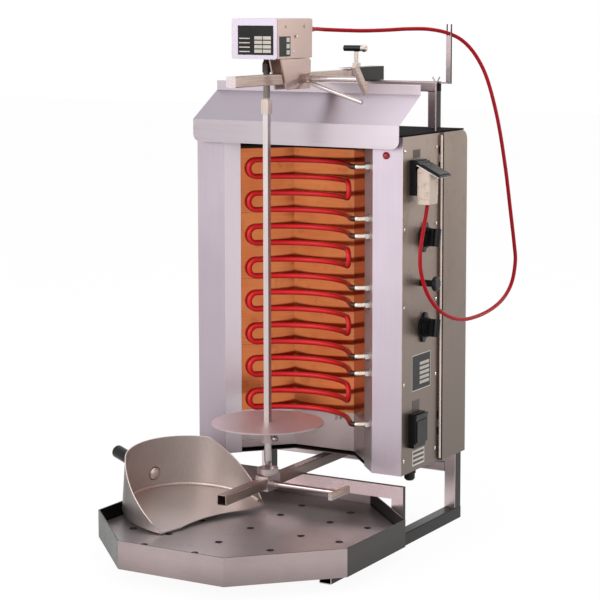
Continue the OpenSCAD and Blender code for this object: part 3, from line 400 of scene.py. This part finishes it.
# Rounding of the nodes' edges
EDGES = {
    0.0012: ["left_column", "right_column", "hood", "motor_housing", "motor_cover", "side_shield"],
    0.0007: ["control_panel", "right_side_panel", "left_side_panel", "motor_bracket",
             "terminal_strip", "top_plate", "lower_carriage", "drip_tray", "scoop"],
    0.0015: ["base_rails", "frame_uprights", "frame_crossbars", "lower_arm", "upper_arm",
             "upper_posts", "upper_crossbar", "arm_sleeve", "skewer", "socket_boxes", "upper_lid",
             "lower_lid"],
}


def soften(obj, width):
    """A fine rounding on the sharp edges, so that they catch the light."""
    mod = obj.modifiers.new("edge", "BEVEL")
    mod.width, mod.segments = width, 2
    mod.limit_method, mod.angle_limit = "ANGLE", math.radians(38)


slot_of = {s["node"]: s["material_slot"] for s in frame["record"]["subparts"]}
for node, obj in nodes.items():
    obj.data.materials.clear()
    obj.data.materials.append(MATERIALS[OWN_LOOK.get(node, slot_of[node])])
for width, names in EDGES.items():
    for name in names:
        soften(nodes[name], width)

# ---- pieces ----


def piece(name, obj, body, look, replaces=()):
    obj.name = name
    obj.data.materials.append(look)
    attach(obj, body)
    if replaces:
        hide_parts(*replaces)
    return obj


def link(name, data):
    obj = bpy.data.objects.new(name, data)
    bpy.context.scene.collection.objects.link(obj)
    return obj


def curve(name, lines, radius, sides=5):
    """One round tube along each line of points."""
    data = bpy.data.curves.new(name, "CURVE")
    data.dimensions = "3D"
    data.bevel_depth, data.bevel_resolution = radius, sides
    data.use_fill_caps = True
    for points in lines:
        spline = data.splines.new("POLY")
        spline.points.add(len(points) - 1)
        for p, co in zip(spline.points, points):
            p.co = (*co, 1.0)
        spline.use_smooth = True
    return link(name, data)


def tube_mesh(name, points, radius, sides=16):
    """A round tube along a line, as a mesh, with its ends closed."""
    mesh, verts, faces = bpy.data.meshes.new(name), [], []
    side = None
    for i, p in enumerate(points):
        ahead = (points[min(i + 1, len(points) - 1)] - points[max(i - 1, 0)]).normalized()
        side = (side - ahead * side.dot(ahead) if side else ahead.orthogonal()).normalized()
        up = ahead.cross(side)
        for k in range(sides):
            a = math.tau * k / sides
            verts.append(p + radius * (math.cos(a) * side + math.sin(a) * up))
    for i in range(len(points) - 1):
        for k in range(sides):
            a, b = i * sides + k, i * sides + (k + 1) % sides
            faces.append((a, b, b + sides, a + sides))
    faces.append(tuple(range(sides - 1, -1, -1)))
    faces.append(tuple(range(len(verts) - sides, len(verts))))
    mesh.from_pydata(verts, [], faces)
    mesh.shade_smooth()
    return link(name, mesh)


def boxes(name, blocks):
    """Small flat blocks between pairs of corners in the machine's millimetres, as one mesh."""
    mesh, verts, faces = bpy.data.meshes.new(name), [], []
    around = ((0, 2, 3, 1), (4, 5, 7, 6), (0, 1, 5, 4), (2, 6, 7, 3), (0, 4, 6, 2), (1, 3, 7, 5))
    for lo, hi in blocks:
        n = len(verts)
        verts += [at(x, y, z)
                  for z in (lo[2], hi[2]) for y in (lo[1], hi[1]) for x in (lo[0], hi[0])]
        faces += [tuple(n + i for i in face) for face in around]
    mesh.from_pydata(verts, [], faces)
    return link(name, mesh)


# The motor's cord, from its gland over the tall fork and down to the plug
CORD_ROUTE = [
    (30, -251.5, 983), (31, -238, 983), (35, -222, 982), (45, -203, 981),
    (60, -181, 980), (84, -148, 979), (112, -110, 980), (141, -74, 982),
    (171, -40, 981), (199, -10, 972.5), (220, 14, 956), (240, 31, 926),
    (260, 40, 880), (280, 46, 802), (295, 51, 710), (304, 57, 626),
    (309, 68, 551), (310, 71, 517), (308, 58, 476), (304, 22, 447),
    (297, -35, 430), (288, -103, 425), (280, -151, 433), (272, -195, 454),
    (265, -229, 487), (260, -247, 529), (258, -248, 563), (257, -239, 594),
    (256, -223, 630), (256, -214, 657),
]
CORD_D = 0.0075


def spline_points(route, steps):
    """A smooth curve through the route's points."""
    pts = [Vector(p) for p in route]
    out = []
    for i in range(len(pts) - 1):
        a, b = pts[max(i - 1, 0)], pts[i]
        c, d = pts[i + 1], pts[min(i + 2, len(pts) - 1)]
        for s in range(steps):
            t = s / steps
            out.append(0.5 * (2 * b + (c - a) * t + (2 * a - 5 * b + 4 * c - d) * t * t
                              + (3 * b - a - 3 * c + d) * t ** 3))
    out.append(pts[-1])
    return out


cord_line = [at(*p) for p in spline_points(CORD_ROUTE, 6)]
cord = tube_mesh("motor_cord_smooth", cord_line, CORD_D / 2)
cord.data.materials.append(MATERIALS["cord_red"])
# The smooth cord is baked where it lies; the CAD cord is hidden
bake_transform(cord)
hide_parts("motor_cord")

# ---- heating elements ----

# Top of the first reflector, its height, the first run's distance below its top
HEAD_Z, PANEL_H, DROP = 754, 132, 28.5
RUN = PANEL_H / 4
TUBE_D, END_D, PIN_D = 10.0, 10.5, 9.4
# The curve in plan: its middle, its radius, its ends in degrees from straight back
MIDDLE, BEND_R = Vector((-14.5, -300)), 130
LEFT_END, RIGHT_END = -52, 48
# Where the pins enter the terminal strip, and which way
STRIP_IN = Vector((0.7345, 0.6786))
NUT_AT = Vector((149.39, -246.11))
PIN_TAIL = 12
TERMINAL_ANGLE, TERMINAL_R = 54.6, 12.0


def on_curve(angle):
    a = math.radians(angle)
    return MIDDLE + BEND_R * Vector((math.sin(a), math.cos(a)))


def run(start, stop, z):
    """A level run along the curve between two angles."""
    steps = math.ceil(abs(stop - start) / 2.5)
    return [(*on_curve(start + (stop - start) * i / steps), z) for i in range(steps + 1)]


def bend(angle, side, z):
    """The half turn from a run at z down to the next."""
    a = math.radians(angle)
    end, ahead, r = on_curve(angle), side * Vector((math.cos(a), -math.sin(a))), RUN / 2
    out = []
    for i in range(1, 16):
        b = math.pi * i / 16
        out.append((*(end + r * math.sin(b) * ahead), z - r + r * math.cos(b)))
    return out


def terminal(z):
    """The bend from the curve's end into the line of the pin that enters the terminal strip."""
    a = math.radians(TERMINAL_ANGLE)
    start, way = on_curve(TERMINAL_ANGLE), Vector((math.cos(a), -math.sin(a)))
    left = Vector((-way.y, way.x))
    turn = math.acos(way.dot(STRIP_IN))
    span = NUT_AT - start
    along = span.x * STRIP_IN.y - span.y * STRIP_IN.x
    along /= way.x * STRIP_IN.y - way.y * STRIP_IN.x
    begin = start + (along - TERMINAL_R * math.tan(turn / 2)) * way
    mid = begin + TERMINAL_R * left
    arc = []
    for i in range(11):
        b = turn * i / 10
        arc.append((*(mid + TERMINAL_R * (math.sin(b) * way - math.cos(b) * left)), z))
    return arc


red_lines, dark_lines, pin_lines = [], [], []
for n in range(4):
    zs = [HEAD_Z - n * PANEL_H - DROP - k * RUN for k in range(4)]
    path = (run(TERMINAL_ANGLE, LEFT_END, zs[0]) + bend(LEFT_END, -1, zs[0])
            + run(LEFT_END, RIGHT_END, zs[1]) + bend(RIGHT_END, 1, zs[1])
            + run(RIGHT_END, LEFT_END, zs[2]) + bend(LEFT_END, -1, zs[2])
            + run(LEFT_END, TERMINAL_ANGLE, zs[3]))
    ends = [terminal(z) for z in (zs[0], zs[3])]
    path = ends[0][2::-1] + path + ends[1][:3]
    red_lines.append([at(*p) for p in path])
    for z, arc in zip((zs[0], zs[3]), ends):
        dark_lines.append([at(*p) for p in arc[2:8]])
        tail = NUT_AT + PIN_TAIL * STRIP_IN
        pin_lines.append([at(*p) for p in arc[7:]] + [at(tail.x, tail.y, z)])
# Tube ends: burnt metal; the same look rings the scoop's rivet as painted shadow
burnt_ends_and_shade_look = brushed("burnt_metal_and_painted_shade", srgb(84, 62, 52), 0.4, EVEN_GRAIN, 0.06, 0.12, 0.3)
pins_look = brushed("cream_metal", srgb(240, 230, 214), 0.26, (600, 600, 600), 0.05, 0.06, 0.12)
for n in range(4):
    piece(f"heating_tube_{n + 1}", curve(f"heating_tube_{n + 1}", [red_lines[n]], TUBE_D / 2000),
          "stand", MATERIALS["element_red"], [f"heating_element_{n + 1}"])
piece("tube_ends", curve("tube_ends", dark_lines, END_D / 2000), "stand", burnt_ends_and_shade_look)
piece("terminal_pins", curve("terminal_pins", pin_lines, PIN_D / 2000), "stand", pins_look)

# ---- bare plates and labels, without words ----

label_black = plastic("label_black", srgb(14, 14, 16), 0.30, 500.0, 0.03)
label_pale = plastic("label_pale", srgb(206, 200, 190), 0.35, 500.0, 0.03)
label_grey = plastic("label_grey", srgb(96, 86, 78), 0.40, 500.0, 0.03)
label_white = plastic("label_white", srgb(226, 222, 214), 0.40, 500.0, 0.03)
# Outer faces of the control panel, of the motor's side and of the motor's front
PANEL_X, MOTOR_X, MOTOR_Y = 228.7, 40.0, -400.0
# How far a plate is let into the face below it, and a bar into its plate and out of it
PLATE_IN, BAR_IN, BAR_OUT = 0.1, 0.05, 0.12


def side_plate(name, y0, y1, z0, z1, look, out, body="stand", x=PANEL_X):
    """A plate on a face that looks to the right."""
    piece(name, boxes(name, [((x - PLATE_IN, y0, z0), (x + out, y1, z1))]), body, look)


def side_bars(name, bars, look, lift, body="stand", x=PANEL_X):
    """Thin bars (y0, y1, z0, z1) on such a plate, lift over the face."""
    blocks = [((x + lift - BAR_IN, a, c), (x + lift + BAR_OUT, b, d)) for a, b, c, d in bars]
    piece(name, boxes(name, blocks), body, look)


side_plate("data_plate_rim", -222.5, -143.5, 295.5, 365.5, label_pale, 0.35)
side_plate("data_plate", -220.5, -145.5, 297.5, 363.5, label_black, 0.5)
side_bars("data_fields", [(-190, -150, 343 - 9.2 * i, 349 - 9.2 * i) for i in range(5)],
          label_pale, 0.5)
side_plate("small_label_low", -220, -190, 256, 278, label_grey, 0.3)
side_plate("small_label_top", -222, -192, 742, 758, label_grey, 0.3)
side_plate("white_label", -219, -168, 150, 180, label_white, 0.3)
side_bars("white_label_rows", [(-216, -171, 153.5 + 9 * i, 158.5 + 9 * i) for i in range(3)],
          label_grey, 0.28)

plate = [((-46, MOTOR_Y - 0.6, 937), (30.5, MOTOR_Y + PLATE_IN, 991))]
piece("motor_plate", boxes("motor_plate", plate), "motor", label_black)
field_front, field_back, row_step, column_step = MOTOR_Y - 0.75, MOTOR_Y - 0.5, 8.1, 18.5
fields = [((-10 + column_step * c, field_front, 941 + row_step * r),
           (7 + column_step * c, field_back, 947 + row_step * r))
          for r in range(4) for c in range(2)]
fields += [((-43, field_front, 942 + row_step * r), (-20, field_back, 944 + row_step * r))
           for r in range(4)]
piece("motor_plate_fields", boxes("motor_plate_fields", fields), "motor", label_pale)
side_plate("motor_side_plate", -394, -355, 934, 971, label_black, 0.5, "motor", MOTOR_X)
side_bars("motor_side_dots", [(-369, -358, 937.5 + 11.5 * i, 945.5 + 11.5 * i) for i in range(3)],
          label_white, 0.45, "motor", MOTOR_X)

# ---- small trim ----


def dome(name, spots, radius, height, body, look):
    """Low round heads; each spot is a centre and the way that it faces."""
    mesh, verts, faces, sides = bpy.data.meshes.new(name), [], [], 20
    for centre, way in spots:
        centre, way = Vector(centre), Vector(way).normalized()
        side = way.orthogonal().normalized()
        up, n = way.cross(side), len(verts)
        for k in range(5):
            a = k * math.pi / 10
            for i in range(sides):
                b = math.tau * i / sides
                out = radius * math.cos(a) * (math.cos(b) * side + math.sin(b) * up)
                verts.append(centre + (out + height * math.sin(a) * way) / 1000)
        verts.append(centre + height * way / 1000)
        tip = n + 5 * sides
        for k in range(4):
            low, high = n + k * sides, n + (k + 1) * sides
            for i in range(sides):
                j = (i + 1) % sides
                faces.append((low + i, low + j, high + j, high + i))
        faces += [(tip - sides + i, tip - sides + (i + 1) % sides, tip) for i in range(sides)]
    mesh.from_pydata(verts, [], faces)
    mesh.shade_smooth()
    piece(name, link(name, mesh), body, look)


def rings(name, centres, inner, outer, z, body, look):
    """Flat punched rims round the holes of a sheet, sunk a little at the hole."""
    mesh, verts, faces, sides, sunk = bpy.data.meshes.new(name), [], [], 28, 0.35
    for x, y in centres:
        n = len(verts)
        for r, height in ((inner, z - sunk), (outer, z)):
            for i in range(sides):
                a = math.tau * i / sides
                verts.append(at(x + r * math.cos(a), y + r * math.sin(a), height))
        for i in range(sides):
            j = (i + 1) % sides
            faces.append((n + i, n + sides + i, n + sides + j, n + j))
    mesh.from_pydata(verts, [], faces)
    piece(name, link(name, mesh), body, look)


def strand(name, points, radius, body, look):
    """A thin round strand along one line of points."""
    piece(name, curve(name, [points], radius), body, look)


rivets = [(at(42.2, -334, 971), (1, 0, 0)), (at(40.2, -344, 942), (1, 0, 0))]
dome("motor_side_rivets", rivets, 2.6, 1.2, "motor", MATERIALS["bright_metal"])

# The shield's folded front edge, near white as a painted highlight along the fold
fold_look = brushed("fold_edge", srgb(255, 236, 230), 0.40, (500, 500, 20), 0.03, 0.03, 0.08,
                    metallic=0.3)
strand("shield_fold", [at(233.2, -109.6, 146), at(233.2, -109.6, 780)], 0.0021, "side_shield",
       fold_look)

# Seal under the raised lid
seal = [(243.5, -235.1, 730.6), (288.2, -235.1, 709.0), (288.6, -211, 708.9),
        (288.2, -187.3, 709.0)]
strand("lid_seal", [at(*p) for p in seal], 0.0009, "upper_lid", fold_look)

# Scoop: seam of floor and wall, rolled rim, large rivet. Its middle, its turn and its tilt
# as it lies on the plate, its radius and its sheet
SCOOP_AT, SCOOP_TURN, SCOOP_TILT = at(-134, -420.9, 63.27), 155, -7.75
SCOOP_R, SCOOP_T = 141.0, 1.5
SCOOP = (Matrix.Translation(SCOOP_AT) @ Matrix.Rotation(math.radians(SCOOP_TURN), 4, "Z")
         @ Matrix.Rotation(math.radians(SCOOP_TILT), 4, "Y")
         @ Matrix.Rotation(math.radians(-SCOOP_TURN), 4, "Z"))
# The rim: its greatest height, its height at the middle, the way and slope of its cut
RIM_TOP, RIM_MIDDLE, RIM_WAY, RIM_SLOPE = 102.0, 37, 15.5, 35
RIVET_ANGLE, RIVET_Z = 160, 30
SEAM_R, RIM_R = 3.4, 1.1
SEAM_SET = 2.2


def in_scoop(r, angle, z):
    a = math.radians(angle)
    return SCOOP @ (Vector((r * math.cos(a), r * math.sin(a), z)) / 1000)


def rim_z(angle):
    cut = math.cos(math.radians(angle + RIM_WAY)) * math.tan(math.radians(RIM_SLOPE))
    return min(RIM_TOP, RIM_MIDDLE - SCOOP_R * cut)


# The seam, the rim and the rivet are paler than the scoop sheet: painted highlight
bead_highlight_look = brushed("bead_painted_highlight", srgb(226, 210, 204), 0.34, EVEN_GRAIN, 0.03, 0.04, 0.10,
                    metallic=0.7)
strand("scoop_seam", [in_scoop(SCOOP_R - SCOOP_T - SEAM_SET, a, SCOOP_T + SEAM_SET)
                      for a in range(60, 269, 2)], SEAM_R / 1000, "scoop", bead_highlight_look)
strand("scoop_rim", [in_scoop(SCOOP_R - SCOOP_T / 2, a, rim_z(a)) for a in range(58, 271, 3)],
       RIM_R / 1000, "scoop", bead_highlight_look)
rivet = in_scoop(SCOOP_R - SCOOP_T, RIVET_ANGLE, RIVET_Z)
inward = (in_scoop(0, RIVET_ANGLE, RIVET_Z) - rivet).normalized()
dome("scoop_rivet", [(rivet + 0.0006 * inward, inward)], 12.5, 6.5, "scoop", bead_highlight_look)
# A darker ring round the rivet's foot: painted shadow
dome("scoop_rivet_foot", [(rivet + 0.0002 * inward, inward)], 14.0, 1.6, "scoop", burnt_ends_and_shade_look)

# Plate: punched rims round its holes, near black as painted shade
ROWS, PLATE_Y, PLATE_TOP, FARTHEST = (-191, -110, 0, 110, 191), -437.9, 51.4, 381
RIM_IN, RIM_OUT = 4.4, 7.0
holes = [(x, y + PLATE_Y) for x in ROWS for y in ROWS if abs(x) + abs(y) < FARTHEST]
hole_shade_black = plastic("hole_shade_black", srgb(10, 9, 9), 0.6, 300.0, 0.1, gloss=0.1)
rings("plate_hole_rims", holes, RIM_IN, RIM_OUT, PLATE_TOP, "plate", hole_shade_black)

# The lock lever's rod, as thick as the photograph shows it
LEVER_SLOPE, LEVER_D = math.radians(17), 8.2
lever_way = Vector((math.cos(LEVER_SLOPE), 0, -math.sin(LEVER_SLOPE)))
lever_from = Vector((50.8, -304, 883.8))
strand("lever_rod", [at(*(lever_from + s * lever_way)) for s in (0, 40, 80, 116, 118.6)],
       LEVER_D / 2000, "lock_lever", MATERIALS["tube_steel"])

# ---- light and floor ----


def make_world():
    """A studio that lights the object: bright in front to the left, dim behind and to the sides.

    The camera, metal and glass see plain white instead.
    """
    world = bpy.data.worlds.new("studio")
    t = Tree("studio", world)
    soft = t.tree.nodes["Background"]
    way = t.direction
    lobe = t.spread(t.dot(way, (-0.52, -0.85, 0.06)), 0, 0.62, 0.25, 0.95)
    above = t.spread(t.dot(way, (0, 0, 1)), 0, 0.24, -0.05, 0.75)
    back = t.spread(t.dot(way, (0.52, 0.83, 0.2)), 0, 0.16, 0.75, 1.0)
    level = t.math("ADD", t.math("ADD", lobe, above), t.math("ADD", back, 0.30))
    soft.inputs["Color"].default_value = (1.0, 0.975, 0.98, 1)
    t.feed(soft.inputs["Strength"], level)
    clean = t.add("ShaderNodeBackground")
    clean.inputs["Color"].default_value = (1, 1, 1, 1)
    mix = t.add("ShaderNodeMixShader")
    t.tree.links.new(t.sees_background(), mix.inputs[0])
    t.tree.links.new(soft.outputs[0], mix.inputs[1])
    t.tree.links.new(clean.outputs[0], mix.inputs[2])
    t.tree.links.new(mix.outputs[0], t.tree.nodes["World Output"].inputs[0])
    bpy.context.scene.world = world


def area(name, place, target, size, power, colour=(1, 1, 1)):
    data = bpy.data.lights.new(name, "AREA")
    data.shape = "RECTANGLE"
    data.size, data.size_y = size
    data.energy, data.color = power, colour
    lamp = link(name, data)
    lamp.location = place
    lamp.rotation_euler = (Vector(target) - Vector(place)).to_track_quat("-Z", "Y").to_euler()


def make_floor():
    """Pale paper that shows as white, and keeps the object's shadow and some of its light."""
    mesh = bpy.data.meshes.new("floor")
    half, below, white, share = 14, 0.0005, 1.07, 0.88
    mesh.from_pydata([(-half, -half, 0), (half, -half, 0), (half, half, 0), (-half, half, 0)], [],
                     [(0, 1, 2, 3)])
    floor = link("floor", mesh)
    floor.location.z = -below
    t = Tree("floor_paper")
    grain = t.noise(60.0, 3.0)
    paper = t.mix(grain, (0.56, 0.55, 0.55, 1), (0.60, 0.59, 0.59, 1))
    t.shader(Base_Color=paper, Roughness=0.9)
    glow = t.add("ShaderNodeEmission")
    glow.inputs["Strength"].default_value = white
    seen = t.math("MULTIPLY", t.sees_background(), share)
    mix = t.add("ShaderNodeMixShader")
    t.tree.links.new(seen, mix.inputs[0])
    t.tree.links.new(t.bsdf.outputs[0], mix.inputs[1])
    t.tree.links.new(glow.outputs[0], mix.inputs[2])
    t.tree.links.new(mix.outputs[0], t.tree.nodes["Material Output"].inputs[0])
    mesh.materials.append(t.mat)


make_world()
make_floor()
area("key", (-2.0, -4.2, 2.4), (0, 0, 0.5), (2.6, 2.2), 70)
area("front", (1.4, -4.6, 1.8), (0, 0, 0.5), (2.0, 2.0), 30)
area("side", (2.70, 2.25, 1.30), (0.27, 0.13, 0.52), (0.16, 0.16), 20, (1, 0.97, 0.93))
area("top", (0.2, 0.4, 3.6), (0, 0, 0.4), (2.6, 2.6), 26)

bpy.context.scene.view_settings.view_transform = "Standard"
